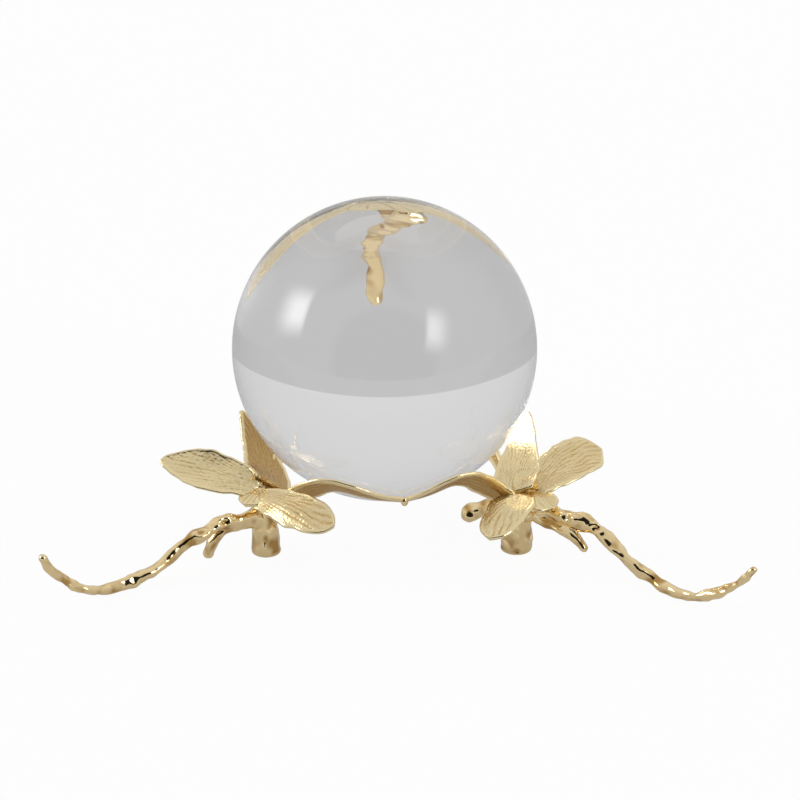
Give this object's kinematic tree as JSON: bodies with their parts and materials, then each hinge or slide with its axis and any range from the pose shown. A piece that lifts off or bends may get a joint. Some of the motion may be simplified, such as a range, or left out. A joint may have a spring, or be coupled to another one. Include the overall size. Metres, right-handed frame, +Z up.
{
  "type": "crystal ball on stand",
  "caption": "Clear solid crystal ball resting in a gold stand of cast flowers on knotted twig branches, whose ring petals cradle the ball.",
  "frame": {"origin": "on the table, at the centre of the circle through the three feet", "axes": "+Z up, +X from the left foot to the right foot, -Y to the front of the stand"},
  "size_m": [0.2676, 0.2239, 0.134],
  "materials": {
    "crystal": "polished",
    "petal_gold": "satin",
    "twig_gold": "polished"
  },
  "bodies": {
    "stand": {"back_flower_hub": "petal_gold", "back_foot_post": "twig_gold", "back_front_petal": "petal_gold", "back_inner_spur": "twig_gold", "back_left_ring_bead": "twig_gold", "back_lip_petal": "petal_gold", "back_outer_petal": "petal_gold", "back_right_ring_bead": "twig_gold", "back_ring_petal_left": "petal_gold", "back_ring_petal_right": "petal_gold", "back_side_shoot": "twig_gold", "back_twig": "twig_gold", "back_upright_petal": "petal_gold", "front_ring_bead": "twig_gold", "left_flower_hub": "petal_gold", "left_foot_post": "twig_gold", "left_front_petal": "petal_gold", "left_inner_spur": "twig_gold", "left_lip_petal": "petal_gold", "left_outer_petal": "petal_gold", "left_ring_petal_back": "petal_gold", "left_ring_petal_front": "petal_gold", "left_side_shoot": "twig_gold", "left_twig": "twig_gold", "left_upright_petal": "petal_gold", "right_flower_hub": "petal_gold", "right_foot_post": "twig_gold", "right_front_petal": "petal_gold", "right_inner_spur": "twig_gold", "right_lip_petal": "petal_gold", "right_outer_petal": "petal_gold", "right_ring_petal_back": "petal_gold", "right_ring_petal_front": "petal_gold", "right_side_shoot": "twig_gold", "right_twig": "twig_gold", "right_upright_petal": "petal_gold"},
    "ball": {"crystal_ball": "crystal"}
  },
  "joints": [
    {"name": "ball_lift", "type": "slide", "parent": "stand", "child": "ball", "axis": [0, 0, 1], "range_m": [0, 0.09]}
  ]
}
